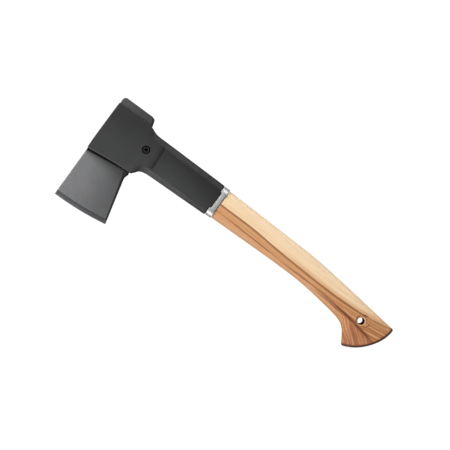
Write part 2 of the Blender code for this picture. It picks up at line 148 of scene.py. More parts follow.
def settle(piece, node, sharpAngle):
    makeActive(piece)
    bpy.ops.object.shade_smooth_by_angle(angle=math.radians(sharpAngle))
    slide(*toolOrigin)
    bpy.ops.object.transform_apply(location=True, rotation=True, scale=True)
    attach(piece, "root")
    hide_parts(node)
    print(piece.name, len(piece.data.polygons), "faces")
    return piece


def mix(a, b, share):
    return a + (b - a) * share


def placeRing(points):   # slides each corner of the picked end face to its own place
    data = bpy.context.edit_object.data
    shape = bmesh.from_edit_mesh(data)
    corner = shape.verts.layers.int["corner"]
    ends = sorted((v[corner], v.index) for v in shape.verts if v.select)
    bpy.ops.mesh.select_mode(type="VERT")
    for point, (number, index) in zip(points, ends):
        bpy.ops.mesh.select_all(action="DESELECT")
        shape = bmesh.from_edit_mesh(data)
        shape.verts.ensure_lookup_table()
        shape.verts[index].select_set(True)
        slide(*(Vector(point) - shape.verts[index].co))
    shape = bmesh.from_edit_mesh(data)
    shape.verts.ensure_lookup_table()
    for number, index in ends:
        shape.verts[index].select_set(True)
    shape.select_flush(True)
    bmesh.update_edit_mesh(data)


def ringBody(name, rings):   # a filled circle, pulled out ring by ring along the tool
    leaveEdit()
    bpy.ops.mesh.primitive_circle_add(vertices=len(rings[0]), radius=0.01, fill_type="NGON",
                                      location=rings[0][0], rotation=(0, math.pi / 2, 0))
    body = nameNew(name)
    openEdit(body)
    shape = bmesh.from_edit_mesh(body.data)
    corner = shape.verts.layers.int.new("corner")
    for number, v in enumerate(shape.verts):
        v[corner] = number
    bmesh.update_edit_mesh(body.data)
    pickAll()
    placeRing(rings[0])
    for points in rings[1:]:
        pullOut(0)
        placeRing(points)
    leaveEdit()
    tidyMesh(body)
    return body


def ovalRing(x, middleY, depth, width, roundness=2.6, corners=28):
    ring = []
    for number in range(corners):
        angle = 2 * math.pi * (number + 0.5) / corners
        across, through = math.cos(angle), math.sin(angle)
        y = math.copysign(abs(across) ** (2 / roundness), across) * depth
        z = math.copysign(abs(through) ** (2 / roundness), through) * width
        ring.append((x, middleY + y, z))
    return ring


def boxCutter(name, low, high):
    leaveEdit()
    middle = [(a + b) / 2 for a, b in zip(low, high)]
    bpy.ops.mesh.primitive_cube_add(size=1, location=middle, scale=[b - a for a, b in zip(low, high)])
    return nameNew(name)


def ovalCutter(name, startX, endX, depth, width, middleY=0.0, sides=48):
    leaveEdit()
    bpy.ops.mesh.primitive_cylinder_add(vertices=sides, radius=1, depth=endX - startX,
                                        location=((startX + endX) / 2, middleY, 0), rotation=(0, math.pi / 2, 0))
    cutter = nameNew(name)
    openEdit(cutter)
    pickAll()
    stretch(1, depth, width, (0, middleY, 0))
    leaveEdit()
    return cutter


# steel head: a bowed strip along the cutting edge, pulled up row by row to the poll
steelHead = {
    "toe": (0.0012, -0.1094), "heel": (0.0731, -0.1029), "edgeBow": 0.00175, "edgeSteps": 24,
    "blankHalf": 0.0126, "edgeHalf": 0.00018, "cornerRound": 0.0010,
    # rows above the edge: y at the toe, x and y at the heel, half thickness; the blade swells a little between them
    "bevelRow": (-0.1032, 0.0715, -0.0967, 0.0023), "bevelMargin": 0.0016,
    "neckRow": (-0.0466, 0.0582, -0.0466, 0.0073),
    "bladeRows": 5, "bladeSwell": 1.1,
    # rows under the shroud: x at the toe side, y, x at the far side, half thickness
    "upperRows": ((0.0012, -0.0429, 0.0576, 0.0076), (0.0012, -0.0398, 0.0588, 0.0082),
                  (0.0012, -0.0372, 0.0592, 0.0086), (0.0031, -0.0353, 0.0585, 0.0088),
                  (0.0031, -0.0186, 0.0585, 0.0120), (0.0031, 0.0257, 0.0459, 0.0120),
                  (0.0010, 0.0273, 0.0478, 0.0126)),
    "pollSteps": 6, "pollTopRound": 0.0048, "pollEndRound": 0.0022, "pollFaceRound": 0.0010,
    "pollSlant": 0.0030, "eyeDepth": 0.0186, "eyeWidth": 0.0088,
}


def makeSteelHead():
    s = steelHead
    toeX, toeY = s["toe"]
    heelX, heelY = s["heel"]
    half = s["blankHalf"]

    # one upright edge at the toe, spun along the arc of the cutting edge
    leaveEdit()
    bpy.ops.mesh.primitive_plane_add(size=2 * half, location=(toeX + half, toeY, 0), rotation=(math.pi / 2, 0, 0))
    head = nameNew("steel_bit_and_poll")
    openEdit(head)
    pick("VERT", lambda v: v.co.x > toeX + half)
    bpy.ops.mesh.delete(type="VERT")
    chord = Vector((heelX - toeX, heelY - toeY, 0))
    bow = s["edgeBow"]
    radius = chord.length ** 2 / (8 * bow) + bow / 2
    normal = Vector((-chord.y, chord.x, 0)).normalized()
    centre = Vector((toeX, toeY, 0)) + chord / 2 + normal * (radius - bow)
    pickAll()
    bpy.ops.mesh.spin(steps=s["edgeSteps"], angle=2 * math.asin(chord.length / 2 / radius), center=centre,
                      axis=(0, 0, -1))
    pick("VERT", lambda v: min(abs(v.co.x - toeX), abs(v.co.x - heelX)) < 0.0001)
    bpy.ops.mesh.bevel(offset=s["cornerRound"], segments=3, affect="VERTICES")
    pickAll()
    stretch(1, 1, s["edgeHalf"] / half, (0, 0, 0))

    # every row is pulled up from the one below: bow and slant run out until the rows are level at the neck
    row = (toeX, toeY, heelX, heelY, s["edgeHalf"])

    def nextRow(leftX, leftY, rightX, rightY, newHalf):
        nonlocal row
        oldLeftX, oldLeftY, oldRightX, oldRightY, oldHalf = row
        slant = (rightY - leftY) / (oldRightY - oldLeftY) if oldRightY != oldLeftY else 1
        pullOut(0)
        stretch((rightX - leftX) / (oldRightX - oldLeftX), slant, newHalf / oldHalf, (oldLeftX, oldLeftY, 0))
        slide(leftX - oldLeftX, leftY - oldLeftY, 0)
        row = (leftX, leftY, rightX, rightY, newHalf)

    bevel, neck = s["bevelRow"], s["neckRow"]
    nextRow(toeX, *bevel)
    for step in range(1, s["bladeRows"] + 1):
        share = step / s["bladeRows"]
        leftY, rightX, rightY = (bevel[i] + (neck[i] - bevel[i]) * share for i in range(3))
        nextRow(toeX, leftY, rightX, rightY, bevel[3] + (neck[3] - bevel[3]) * share ** s["bladeSwell"])
    for leftX, y, rightX, thick in s["upperRows"]:
        nextRow(leftX, y, rightX, y, thick)

    # the poll leans in at its far side and is rounded over on all sides of its face
    leftX, seatY, rightX, thick = s["upperRows"][-1]

    def rounded(radius, y):
        rise = max(0, y - (pollReach - radius))
        return radius - math.sqrt(max(0, radius ** 2 - rise ** 2))

    for step in range(s["pollSteps"] + 1):
        y = pollReach - s["pollTopRound"] * (1 - math.sin(math.pi / 2 * step / s["pollSteps"]))
        lean = s["pollSlant"] * (y - seatY) / (pollReach - seatY)
        nextRow(leftX + rounded(s["pollTopRound"], y), y, rightX - lean - rounded(s["pollEndRound"], y), y,
                thick - rounded(s["pollFaceRound"], y))
    leaveEdit()
    tidyMesh(head)
    cutAway(head, ovalCutter("eye_cutter", -0.02, 0.09, s["eyeDepth"], s["eyeWidth"]))
    return head


print("steel head")
steelPiece = makeSteelHead()


# moulded shroud: a cage of rings from the top of the head to the collar's end
shroud = {
    "backSeat": 0.0273, "bitEdge": -0.0402, "heel": (0.0604, -0.0348),
    "crown": 0.0132, "lip": 0.0100, "capRound": 0.0014,
    "collarBack": 0.0223, "collarBelly": -0.0235, "collarThick": 0.0138, "collarCrown": 0.0079,
    "endBack": 0.0217, "endBelly": -0.0211, "endThick": 0.0136, "endCrown": 0.0077,
    "panelTop": 0.0150, "panelBottom": -0.0157, "panelStep": 0.0006, "panelRecess": 0.0008,
    "crease": 0.0764, "creaseWidth": 0.0032, "creaseLean": -0.045, "creaseSwell": 0.0003,
    "backTurn": 0.0012, "bellyTurn": 0.0014, "lineRound": 0.0005, "cheekFall": 0.22, "bandFall": 0.58,
    "heelPast": 0.002, "heelReach": 0.012, "heelFall": 0.2,
    "tongueEnd": 0.0021, "tongueTop": 0.0116, "tongueBottom": -0.0092, "tongueSlope": 0.0013,
    "tongueSunk": 0.00003, "tongueRound": 0.0008,
    # share of the radius: width of each ring of the mark, and of the steps between them
    "markPlace": (0.0606, 0.0), "markRadius": 0.0050, "markDepth": 0.0004, "markRing": 0.24, "markStep": 0.05,
    "markRise": 0.0003,
    # the rounded end of the collar: distance before its end, inset
    "endRound": ((0.0018, 0), (0.0009, 0.0001), (0.0002, 0.0005), (0, 0.0012)),
    # distance past the heel; how much of the poll's height the back keeps; how far belly, shoulder and lip have gone
    "neckSweep": ((-0.0302, 1.00, -0.12, 0.00, 0), (-0.0150, 1.00, -0.05, 0.00, 0), (-0.0120, 0.95, -0.03, 0.00, 0),
                  (-0.0090, 0.67, -0.02, 0.00, 0), (-0.0054, 0.38, -0.01, 0.23, 0), (-0.0010, 0.09, 0.00, 0.54, 0),
                  (0.0004, 0.07, 0.03, 0.58, 0), (0.0015, 0.05, 0.19, 0.64, 0), (0.0039, 0.02, 0.41, 1.00, 0),
                  (0.0058, 0.00, 0.66, 1.00, 1), (0.0084, 0.00, 0.83, 1.00, 1), (0.0131, 0.00, 0.94, 1.00, 1)),
}
socket = {"tip": 0.0070, "eyeDepth": 0.0167, "eyeWidth": 0.0069, "neckFrom": 0.0660, "neckDepth": 0.0176,
          "neckWidth": 0.0106, "neckMiddle": 0.0006}


def shroudRing(x, back, belly, flat, crown, lip, recess, fall, lean=0.0):
    s = shroud
    top, bottom, step = s["panelTop"], s["panelBottom"], s["panelStep"]
    # the edge stays thick round the heel's curve
    nearHeel = max(0, 1 - abs(x - s["heel"][0] - s["heelPast"]) / s["heelReach"])
    turnZ = mix(lip, flat, mix(0.25, 0.75, nearHeel))
    fall = mix(fall, s["heelFall"], nearHeel)
    half = [
        (x, back, crown),
        (x, back - s["backTurn"], mix(crown, flat, 0.35)),
        (x, mix(back, top, 0.92), flat),
        (x, top - step, flat - recess),
        (x, 0, flat - recess),
        (x, bottom + step, flat - recess),
        (x, mix(belly, bottom, 0.92), mix(flat, crown, 0.03)),
        (x, mix(belly, bottom, 0.5), mix(flat, turnZ, fall)),
        (x, belly + s["bellyTurn"], turnZ),
        (x, belly, lip),
    ]
    half = [(x + lean * y, y, z) for x, y, z in half]
    return half + [(x, y, -z) for x, y, z in reversed(half)]


def makeShroud():
    s = shroud
    heelX, heelY = s["heel"]
    rings = []
    for share in (1, 0.3, 0):   # the rounded top of the head
        inset = s["capRound"] * share ** 1.6
        x = s["capRound"] * (1 - share) ** 1.6
        rings.append(shroudRing(x, s["backSeat"] - inset, s["bitEdge"] + inset, shroudThick - inset,
                                s["crown"] - inset, s["lip"] - inset, 0, s["cheekFall"]))
    for past, stand, bellyGone, crownGone, lipGone in s["neckSweep"]:
        rings.append(shroudRing(heelX + past, mix(s["collarBack"], s["backSeat"], stand),
                                mix(heelY, s["collarBelly"], bellyGone), shroudThick,
                                mix(s["crown"], s["collarCrown"], crownGone),
                                mix(s["lip"], s["collarCrown"], lipGone), 0,
                                mix(s["cheekFall"], s["bandFall"], crownGone)))
    back, belly, flat, crown = s["collarBack"], s["collarBelly"], s["collarThick"], s["collarCrown"]
    creaseEnd = s["crease"] + s["creaseWidth"]
    swell, sunk = s["creaseSwell"], s["panelRecess"]
    for x, lift, recess in ((s["crease"] - 0.0006, swell, 0), (s["crease"], swell / 1.5, sunk / 8),
                            (creaseEnd, 0, sunk), (creaseEnd + 0.0008, 0, sunk)):
        rings.append(shroudRing(x, back, belly - lift, flat + lift, crown, crown, recess, s["bandFall"],
                                s["creaseLean"]))
    collarEnd = ringStart - fitGap
    spots = [(creaseEnd + 0.006, 0), (mix(creaseEnd, collarEnd, 0.5), 0)]
    for x, inset in spots + [(collarEnd - before, inset) for before, inset in s["endRound"]]:
        share = (x - creaseEnd) / (collarEnd - creaseEnd)
        edge = mix(crown, s["endCrown"], share) - inset
        rings.append(shroudRing(x, mix(back, s["endBack"], share) - inset, mix(belly, s["endBelly"], share) + inset,
                                mix(flat, s["endThick"], share) - inset, edge, edge, s["panelRecess"],
                                s["bandFall"]))
    body = ringBody("moulded_shroud", rings)

    # the long moulded lines are rounded before the cage is smoothed
    openEdit(body)
    shape = bmesh.from_edit_mesh(body.data)
    corner = shape.verts.layers.int["corner"]
    last = len(rings[0]) - 1
    hard = {0, 1, 8, 9, last, last - 1, last - 8, last - 9}
    shoulder = {2, 3, 5, 6, last - 2, last - 3, last - 5, last - 6}

    def isMouldLine(edge):
        near, far = edge.verts
        if near[corner] != far[corner] or edge.calc_length() < 1e-5:
            return False
        past = min(near.co.x, far.co.x) > heelX + 0.008
        return near[corner] in hard or (past and near[corner] in shoulder)

    chosen = [e.index for e in shape.edges if isMouldLine(e)]
    bpy.ops.mesh.select_mode(type="EDGE")
    shape = bmesh.from_edit_mesh(body.data)
    shape.edges.ensure_lookup_table()
    for index in chosen:
        shape.edges[index].select_set(True)
    bmesh.update_edit_mesh(body.data)
    roundEdges(s["lineRound"], 2, clamp_overlap=True)
    leaveEdit()
    tidyMesh(body)
    body.data.attributes.remove(body.data.attributes["corner"])
    applyModifier(body, "SUBSURF", levels=2, render_levels=2)

    # the seat follows the steel with a small gap all round, and leaves the lining in the eye
    seat = copyOf(steelPiece, "seat_cutter")
    openEdit(seat)
    pickAll()
    bpy.ops.transform.shrink_fatten(value=fitGap)
    leaveEdit()
    cutAway(body, seat)

    # a tongue on each cheek reaches past the collar's end, rounded over at its tip
    tipX = collarEnd + s["tongueEnd"]
    top, bottom, slope = s["tongueTop"], s["tongueBottom"], s["tongueSlope"]
    surface = s["endThick"] - s["panelRecess"] - s["tongueSunk"]
    tongue = boxCutter("tongue", (collarEnd - 0.02, bottom - slope, -surface), (tipX, top + slope, surface))
    openEdit(tongue)
    pick("EDGE", lambda e: all(v.co.x > tipX - 0.0001 for v in e.verts)
         and abs(e.verts[0].co.z - e.verts[1].co.z) > 0.01)
    roundEdges(slope * 1.6, 2)
    pick("EDGE", lambda e: all(v.co.x > tipX - slope * 1.7 for v in e.verts)
         and all(abs(v.co.z) > surface - 0.0001 for v in e.verts) and e.verts[0].co.z * e.verts[1].co.z > 0)
    roundEdges(s["tongueRound"], 4)
    leaveEdit()
    tidyMesh(tongue)
    cutAway(body, tongue, "UNION")
    bore = socket
    cutAway(body, ovalCutter("eye_bore_cutter", bore["tip"], bore["neckFrom"], bore["eyeDepth"], bore["eyeWidth"]))
    cutAway(body, ovalCutter("neck_bore_cutter", bore["neckFrom"] - 0.0005, ringEnd + 0.01, bore["neckDepth"],
                             bore["neckWidth"], bore["neckMiddle"]))
    return body


def makeMark(body):   # a plain sunk disc with a ring in it, on both cheeks
    s = shroud
    wide, narrow = s["markRadius"] * s["markRing"], s["markRadius"] * s["markStep"]
    for side in (1, -1):
        floor = side * (shroudThick - s["markDepth"])
        leaveEdit()
        bpy.ops.mesh.primitive_cylinder_add(vertices=64, radius=s["markRadius"], depth=0.02,
                                            location=(*s["markPlace"], floor + side * 0.01))
        cutter = nameNew("mark_cutter")
        openEdit(cutter)
        pick("FACE", lambda f: abs(f.calc_center_median().z - floor) < 1e-6)
        for rise in (s["markRise"], -s["markRise"]):
            bpy.ops.mesh.inset(thickness=wide)
            bpy.ops.mesh.inset(thickness=narrow)
            slide(0, 0, side * rise)
        leaveEdit()
        cutAway(body, cutter)
    tidyMesh(body)
    openEdit(body)   # triangles keep two neighbouring faces from sharing a hidden diagonal
    pickAll()
    bpy.ops.mesh.quads_convert_to_tris(quad_method="FIXED", ngon_method="BEAUTY")
    leaveEdit()
    return body


# ring at the end of the collar
ring = {"backY": 0.0212, "bellyY": -0.0200, "cornerRound": 0.0098, "edgeRound": 0.00035, "boreDepth": 0.0169,
        "boreWidth": 0.0099, "boreMiddle": 0.0006}


def makeRing():
    r, s = ring, shroud
    ringPiece = boxCutter("end_ring", (ringStart, r["bellyY"], -ringThick), (ringEnd, r["backY"], ringThick))
    openEdit(ringPiece)
    pick("EDGE", lambda e: abs(e.verts[0].co.x - e.verts[1].co.x) > 0.001)
    roundEdges(r["cornerRound"], 12)
    leaveEdit()
    cutAway(ringPiece, ovalCutter("ring_bore_cutter", ringStart - 0.01, ringEnd + 0.01, r["boreDepth"],
                                  r["boreWidth"], r["boreMiddle"]))
    top, bottom = s["tongueTop"] + fitGap, s["tongueBottom"] - fitGap
    floor = ringStart + s["tongueEnd"]
    notch = boxCutter("notch_cutter", (ringStart - 0.01, bottom, -0.03), (floor, top, 0.03))
    openEdit(notch)
    widen = s["tongueSlope"] * (floor - ringStart + 0.01) / s["tongueEnd"]
    for side in (1, -1):
        pick("VERT", lambda v: v.co.x < ringStart and v.co.y * side > 0)
        slide(0, side * widen, 0)
    leaveEdit()
    cutAway(ringPiece, notch)
    tidyMesh(ringPiece)
    applyModifier(ringPiece, "BEVEL", width=r["edgeRound"], segments=2, limit_method="ANGLE",
                  angle_limit=math.radians(40))
    return ringPiece


# hickory handle: tenon, shoulder, grip and the flared knob, whose last rings fan round to the butt's arc
handle = {
    "tenon": ((0.0080, 0, 0.0137, 0.0049), (0.0100, 0, 0.0157, 0.0059), (0.0604, 0, 0.0157, 0.0059),
              (0.0660, 0.0006, 0.0166, 0.0096), (0.1200, 0.0006, 0.0166, 0.0096)),
    "shoulder": (0.0204, -0.0192, 0.0128), "shoulderRound": 0.0005, "gripThick": 0.0117, "knobThick": 0.0130,
    "gripMiddle": 0.3314, "thickRun": 0.064,
    # x, back and belly
    "outline": ((0.1723, 0.0204, -0.0192), (0.2200, 0.0193, -0.0182), (0.2694, 0.0181, -0.0174),
                (0.3064, 0.0169, -0.0180), (0.3314, 0.0146, -0.0205), (0.3554, 0.0122, -0.0236)),
    "ringStep": 0.012,
    # x and y on the back, x and y on the belly, bulge of the ring toward the butt
    "fan": ((0.3640, 0.0112, 0.3630, -0.0249, 0.0), (0.3735, 0.0101, 0.3700, -0.0264, 0.0002),
            (0.3830, 0.0090, 0.3757, -0.0285, 0.0006), (0.3925, 0.0078, 0.3800, -0.0316, 0.0013),
            (0.4015, 0.0068, 0.3838, -0.0357, 0.0023), (0.4100, 0.0058, 0.3869, -0.0405, 0.0036),
            (0.4175, 0.0049, 0.3895, -0.0449, 0.0050), (0.4240, 0.0042, 0.3915, -0.0478, 0.0064)),
    "arcRadius": 0.0650, "arcMiddle": (0.3688, 0.0100), "buttRound": 0.0014,
    "buttBack": 0.0033, "hookTip": (0.3930, -0.0503),
    "hole": (0.3938, -0.0120), "holeRadius": 0.0041, "boreDepth": 0.018,
    # the hole's flare: each step out of the bore, and how much wider it gets
    "holeFlare": ((0.0013, 0.0002), (0.0012, 0.0007), (0.0012, 0.0016), (0.0040, 0.0080)),
}


def curveThrough(stations, x, column):   # a smooth line through the outline's stations
    index = max(i for i in range(len(stations) - 1) if stations[i][0] <= x + 1e-9)
    near, far = stations[index], stations[index + 1]
    before, after = stations[max(index - 1, 0)], stations[min(index + 2, len(stations) - 1)]
    run = far[0] - near[0]
    leave = (far[column] - before[column]) / (far[0] - before[0]) * run
    arrive = (after[column] - near[column]) / (after[0] - near[0]) * run
    s = (x - near[0]) / run
    return (near[column] + leave * (s - 2 * s ** 2 + s ** 3) + (far[column] - near[column]) * (3 - 2 * s) * s ** 2
            + arrive * (s ** 3 - s ** 2))


def tiltedRing(backPoint, bellyPoint, thick, bulge):
    back, belly = Vector((*backPoint, 0)), Vector((*bellyPoint, 0))
    middle, reach = (back + belly) / 2, (back - belly) / 2
    outward = Vector((-reach.y, reach.x, 0)).normalized() * -1
    points = []
    for x, across, through in ovalRing(0, 0, 1, 1):
        spot = middle + reach * across + outward * bulge * (1 - across ** 2)
        points.append((spot.x, spot.y, through * thick))
    return points


def makeHandle():
    h = handle
    rings = [ovalRing(*values) for values in h["tenon"]]
    startX = ringEnd + fitGap
    neckY, neckDepth, neckWidth = h["tenon"][-1][1:]
    rings.append(ovalRing(startX - 0.0008, neckY, neckDepth, neckWidth))
    rings.append(ovalRing(startX, neckY, neckDepth + 0.0002, neckWidth + 0.0002))
    back, belly, thick = h["shoulder"]
    for inset, x in ((h["shoulderRound"], startX), (0, startX + h["shoulderRound"])):
        rings.append(ovalRing(x, (back + belly) / 2, (back - belly) / 2 - inset, thick - inset))
    stations = h["outline"]
    lastX = stations[-1][0]
    count = round((lastX - startX) / h["ringStep"])

    def thickness(x):
        def ease(start):
            share = min(1, (x - start) / h["thickRun"])
            return share * share * (3 - 2 * share)

        if x < h["gripMiddle"]:
            return mix(thick, h["gripThick"], ease(startX))
        return mix(h["gripThick"], h["knobThick"], ease(h["gripMiddle"]))

    for step in range(count + 1):
        x = mix(startX + 0.0018, lastX, step / count)
        top, bottom = curveThrough(stations, x, 1), curveThrough(stations, x, 2)
        rings.append(ovalRing(x, (top + bottom) / 2, (top - bottom) / 2, thickness(x)))
    for backX, backY, bellyX, bellyY, bulge in h["fan"]:
        rings.append(tiltedRing((backX, backY), (bellyX, bellyY), thickness((backX + bellyX) / 2), bulge))

    # the butt: the rim turns over onto the arc, then the face closes toward the middle plane
    middleX, middleY = h["arcMiddle"]
    tipAngle = math.atan2(h["hookTip"][1] - middleY, h["hookTip"][0] - middleX)
    backAngle = math.asin((h["buttBack"] - middleY) / h["arcRadius"])

    def onArc(inset, shrink, squash):
        radius = h["arcRadius"] - inset
        points = []
        for x, across, through in ovalRing(0, 0, 1, 1):
            angle = mix(tipAngle + shrink / radius, backAngle - shrink / radius, (across + 1) / 2)
            points.append((middleX + radius * math.cos(angle), middleY + radius * math.sin(angle),
                           through * (h["knobThick"] - shrink) * squash))
        return points

    turn = h["buttRound"]
    for angle in (0, 30, 60, 90):
        a = math.radians(angle)
        rings.append(onArc(turn * (1 - math.sin(a)), turn * (1 - math.cos(a)), 1))
    for squash in (0.72, 0.36, 0):
        rings.append(onArc(0, turn, squash))
    body = ringBody("oiled_hickory_handle", rings)
    tidyMesh(body, 0.00002)
    body.data.attributes.remove(body.data.attributes["corner"])
    applyModifier(body, "SUBSURF", levels=2, render_levels=2)

    # hanging hole, flared where it breaks out of both cheeks
    holeX, holeY = h["hole"]
    leaveEdit()
    bpy.ops.mesh.primitive_cylinder_add(vertices=48, radius=h["holeRadius"], depth=h["boreDepth"],
                                        location=(holeX, holeY, 0))
    cutter = nameNew("hole_cutter")
    openEdit(cutter)
    for side in (1, -1):
        pick("FACE", lambda f: f.normal.z * side > 0.9)
        size = h["holeRadius"]
        for rise, grown in h["holeFlare"]:
            pullOut(0, 0, side * rise)
            stretch((size + grown) / size, (size + grown) / size, 1, (holeX, holeY, 0))
            size += grown
    leaveEdit()
    cutAway(body, cutter)
    tidyMesh(body, 0.00001)
    return body


print("shroud")
shroudPiece = makeMark(makeShroud())
print("ring")
ringPiece = makeRing()
print("handle")
handlePiece = makeHandle()
settle(steelPiece, "steel_head", 24)   # the last number is the angle that stays sharp
settle(shroudPiece, "composite_shroud", 30)
settle(ringPiece, "ferrule_ring", 35)
settle(handlePiece, "hickory_handle", 40)


# materials

tree = None   # the node tree that the next nodes go into


def startTree(owner):
    global tree
    owner.use_nodes = True
    tree = owner.node_tree


def newMaterial(name):
    material = bpy.data.materials.new(name)
    startTree(material)
    return material, tree.nodes["Principled BSDF"]


def put(kind, **settings):
    node = tree.nodes.new(kind)
    for name, value in settings.items():
        setattr(node, name, value)
    return node


def join(source, target):
    if isinstance(source, (int, float)):
        target.default_value = source
    elif isinstance(source, tuple):
        target.default_value = source if len(source) == len(target.default_value) else (*source, 1)
    else:
        tree.links.new(source, target)


def sums(operation, a, b=0.0, c=0.0):
    node = put("ShaderNodeMath", operation=operation)
    for value, socketIn in zip((a, b, c), node.inputs):
        join(value, socketIn)
    return node.outputs[0]


def times(a, b):
    return sums("MULTIPLY", a, b)


def plus(a, b):
    return sums("ADD", a, b)


def minus(a, b):
    return sums("SUBTRACT", a, b)


def apart(a, b):
    return sums("ABSOLUTE", minus(a, b))


def scaled(value, scale, start):   # the value times a scale, then a start added
    return sums("MULTIPLY_ADD", value, scale, start)


def blendColour(share, a, b, blend="MIX"):
    node = put("ShaderNodeMix", data_type="RGBA", blend_type=blend)
    join(share, node.inputs[0])
    join(a, node.inputs[6])
    join(b, node.inputs[7])
    return node.outputs[2]


def band(value, low, high, smooth=True, outLow=0.0, outHigh=1.0):   # 0 below low, 1 above high
    node = put("ShaderNodeMapRange", interpolation_type="SMOOTHSTEP" if smooth else "LINEAR")
    for name, amount in (("Value", value), ("From Min", low), ("From Max", high), ("To Min", outLow),
                         ("To Max", outHigh)):
        join(amount, node.inputs[name])
    return node.outputs[0]


def between(share, a, b):   # a at 0, b at 1
    return band(share, 0, 1, False, a, b)


def noise(vector, scale, detail=3.0, roughness=0.55):
    if isinstance(scale, tuple):   # stretched: scales along the tool, across it and in depth
        vector, scale = along(vector, *scale), 1.0
    node = put("ShaderNodeTexNoise")
    join(vector, node.inputs["Vector"])
    node.inputs["Scale"].default_value = scale
    node.inputs["Detail"].default_value = detail
    node.inputs["Roughness"].default_value = roughness
    return node.outputs["Fac"]


def along(vector, x, y, z):   # stretches a pattern
    node = put("ShaderNodeVectorMath", operation="MULTIPLY")
    join(vector, node.inputs[0])
    node.inputs[1].default_value = (x, y, z)
    return node.outputs[0]


def toolPlace():   # object coordinates measured from the tool's own origin
    where = put("ShaderNodeTexCoord")
    shift = put("ShaderNodeMapping", vector_type="POINT")
    shift.inputs["Location"].default_value = tuple(-toolOrigin)
    tree.links.new(where.outputs["Object"], shift.inputs["Vector"])
    return shift.outputs["Vector"]


def splitUp(vector):
    node = put("ShaderNodeSeparateXYZ")
    tree.links.new(vector, node.inputs[0])
    return node.outputs


def reachFrom(x, y, spot):   # distance from a point on the cheek
    across = sums("POWER", minus(x, spot[0]), 2)
    return sums("SQRT", plus(across, sums("POWER", minus(y, spot[1]), 2)))


def finish(shader, c, colour, roughness, height, metallic=0.0):
    node = put("ShaderNodeBump")
    node.inputs["Strength"].default_value, node.inputs["Distance"].default_value = c["bump"]
    join(height, node.inputs["Height"])
    for name, value in (("Base Color", colour), ("Roughness", roughness), ("Metallic", metallic),
                        ("Specular IOR Level", c.get("specular", 0.5)), ("Normal", node.outputs["Normal"])):
        join(value, shader.inputs[name])


def newGroup(name, inputs, outputs):
    global tree
    group = bpy.data.node_groups.new(name, "ShaderNodeTree")
    for label, kind, value in inputs:
        made = group.interface.new_socket(label, in_out="INPUT", socket_type=kind)
        if value is not None:
            made.default_value = value
    for label, kind in outputs:
        group.interface.new_socket(label, in_out="OUTPUT", socket_type=kind)
    tree = group
    return group, put("NodeGroupInput").outputs, put("NodeGroupOutput").inputs


def useGrit(vector, grainSize, patchSize):
    node = put("ShaderNodeGroup", node_tree=grit)
    for name, value in (("Vector", vector), ("Grain Size", grainSize), ("Patch Size", patchSize)):
        join(value, node.inputs[name])
    return node.outputs


def makeGrainGroup():   # fine grit: a height and a mottled mask, for all but the hickory
    group, given, wanted = newGroup("surface_grit", (("Vector", "NodeSocketVector", None),
                                                     ("Grain Size", "NodeSocketFloat", 0.0003),
                                                     ("Patch Size", "NodeSocketFloat", 0.01)),
                                    (("Height", "NodeSocketFloat"), ("Patches", "NodeSocketFloat")))
    fine = put("ShaderNodeTexNoise")
    fine.inputs["Detail"].default_value = 2
    cells = put("ShaderNodeTexVoronoi", feature="SMOOTH_F1")
    cells.inputs["Smoothness"].default_value = 0.6
    patches = put("ShaderNodeTexNoise")
    patches.inputs["Detail"].default_value = 4
    grainScale = sums("DIVIDE", 1.0, given["Grain Size"])
    patchScale = sums("DIVIDE", 1.0, given["Patch Size"])
    for node, scale in ((fine, grainScale), (cells, grainScale), (patches, patchScale)):
        join(given["Vector"], node.inputs["Vector"])
        join(scale, node.inputs["Scale"])
    join(scaled(cells.outputs["Distance"], 0.6, fine.outputs["Fac"]), wanted["Height"])
    join(band(patches.outputs["Fac"], 0.34, 0.66), wanted["Patches"])
    return group


grit = makeGrainGroup()

coatedSteel = {"colour": (0.205, 0.206, 0.210), "patchColour": (0.178, 0.180, 0.184),
               "heelShadeColour": (0.092, 0.093, 0.095), "pollColour": (0.066, 0.067, 0.068),
               "roughness": (0.42, 0.52), "metallic": 0.55, "grain": 0.00035, "patch": 0.018,
               "bump": (0.03, 0.00005), "toeToHeel": (0.004, 0.066), "cloudSize": 45,
               # the heel's painted shade thins out toward the edge
               "edgeFade": (-0.104, -0.062, True, 0.78, 1.0),
               "pollStart": (0.020, 0.022), "pollFade": (0.004, 0.036), "pollFar": 0.68,
               "fleckColour": (0.24, 0.24, 0.25), "fleckScale": 2400, "fleckShare": 0.12,
               # painted shadow under the lip, at the toe and at the heel
               "paintedShadeColour": (0.011, 0.011, 0.011), "lipShadowWidth": (0.0028, 0.0005), "lipShadowFade": (0.004, 0.030),
               "lipShadowFadePower": 1.6, "lipShadowFadeShare": 0.78, "bladeTop": -0.02,
               # the heel's edge: its slope and start, and how far in the painted shade along it reaches
               "heelSlope": -0.2647, "heelStart": 0.04587, "heelRimShadeWidth": (0.0027, 0.0013), "rimShare": 0.85}


